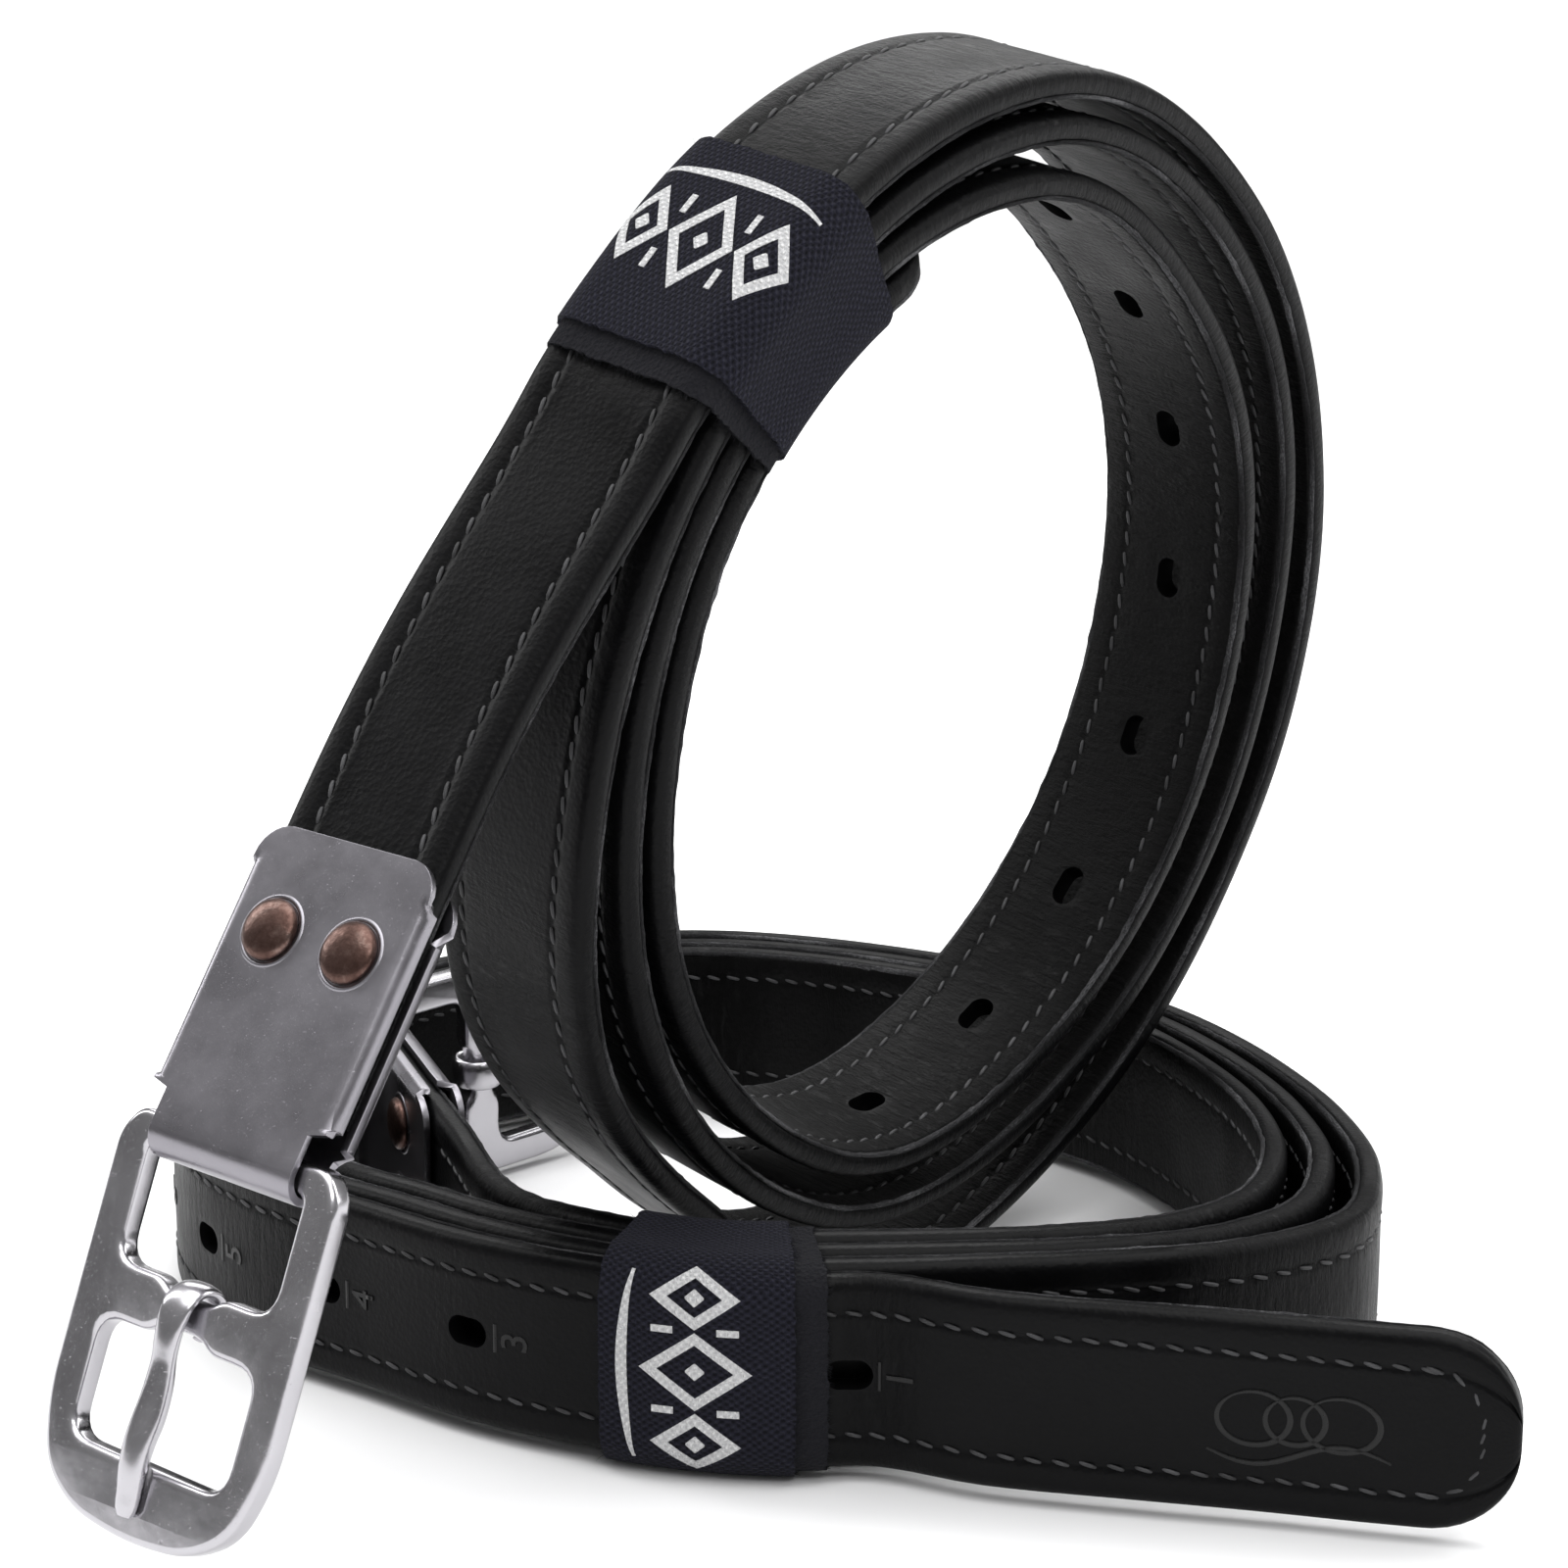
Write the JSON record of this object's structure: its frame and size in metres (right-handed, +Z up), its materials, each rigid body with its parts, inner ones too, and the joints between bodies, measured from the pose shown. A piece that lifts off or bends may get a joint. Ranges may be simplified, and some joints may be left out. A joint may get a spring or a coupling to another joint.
{
  "type": "pair of stirrup leathers",
  "caption": "Black riding strap leathers with flat windowed buckles on riveted folded plates, wound into coils held by woven bands; one coil lies flat and the other stands inside it.",
  "frame": {"origin": "middle of the footprint, on the ground under both coils", "axes": "+Z up, +X to the right of the pair seen from the front, +Y to the back; the lying coil's loose tip points to +X at the front"},
  "size_m": [0.1745, 0.2093, 0.1748],
  "materials": {
    "black_leather": "satin",
    "lining_leather": "matte grained",
    "black_webbing": "matte",
    "satin_steel": "satin",
    "aged_copper": "satin aged",
    "woven_band": "coarse weave",
    "pile_band": "matte pile"
  },
  "bodies": {
    "lying_leather": {"lying_outer_leather": "black_leather", "lying_web_core": "black_webbing", "lying_lining_leather": "lining_leather", "lying_buckle_plate": "satin_steel", "lying_rivet_left": "aged_copper", "lying_rivet_right": "aged_copper", "lying_band_pile_wrap": "pile_band", "lying_band_woven_wrap": "woven_band"},
    "standing_leather": {"standing_outer_leather": "black_leather", "standing_web_core": "black_webbing", "standing_lining_leather": "lining_leather", "standing_buckle_plate": "satin_steel", "standing_rivet_left": "aged_copper", "standing_rivet_right": "aged_copper", "standing_band_pile_wrap": "pile_band", "standing_band_woven_wrap": "woven_band"},
    "lying_frame": {"lying_buckle_frame": "satin_steel"},
    "standing_frame": {"standing_buckle_frame": "satin_steel"},
    "lying_tongue": {"lying_buckle_tongue": "satin_steel"},
    "standing_tongue": {"standing_buckle_tongue": "satin_steel"}
  },
  "joints": [
    {"name": "standing_lift", "type": "slide", "parent": "lying_leather", "child": "standing_leather", "axis": [0, 0, 1], "range_m": [0, 0.2]},
    {"name": "standing_frame_swing", "type": "hinge", "parent": "standing_leather", "child": "standing_frame", "pos_m": [-0.06118, -0.08467, 0.05455], "axis": [-0.7991, 0.5988, 0.054], "range_deg": [-80, 100]},
    {"name": "standing_tongue_swing", "type": "hinge", "parent": "standing_frame", "child": "standing_tongue", "pos_m": [-0.06599, -0.08953, 0.03726], "axis": [-0.7991, 0.5988, 0.054], "range_deg": [0, 85]},
    {"name": "lying_frame_swing", "type": "hinge", "parent": "lying_leather", "child": "lying_frame", "pos_m": [-0.0607, 0.0438, 0.0179], "axis": [0.0225, -0.0586, 0.998], "range_deg": [-40, 5]},
    {"name": "lying_tongue_swing", "type": "hinge", "parent": "lying_frame", "child": "lying_tongue", "pos_m": [-0.04709, 0.05647, 0.01834], "axis": [0.0225, -0.0586, 0.998], "range_deg": [0, 8]}
  ]
}
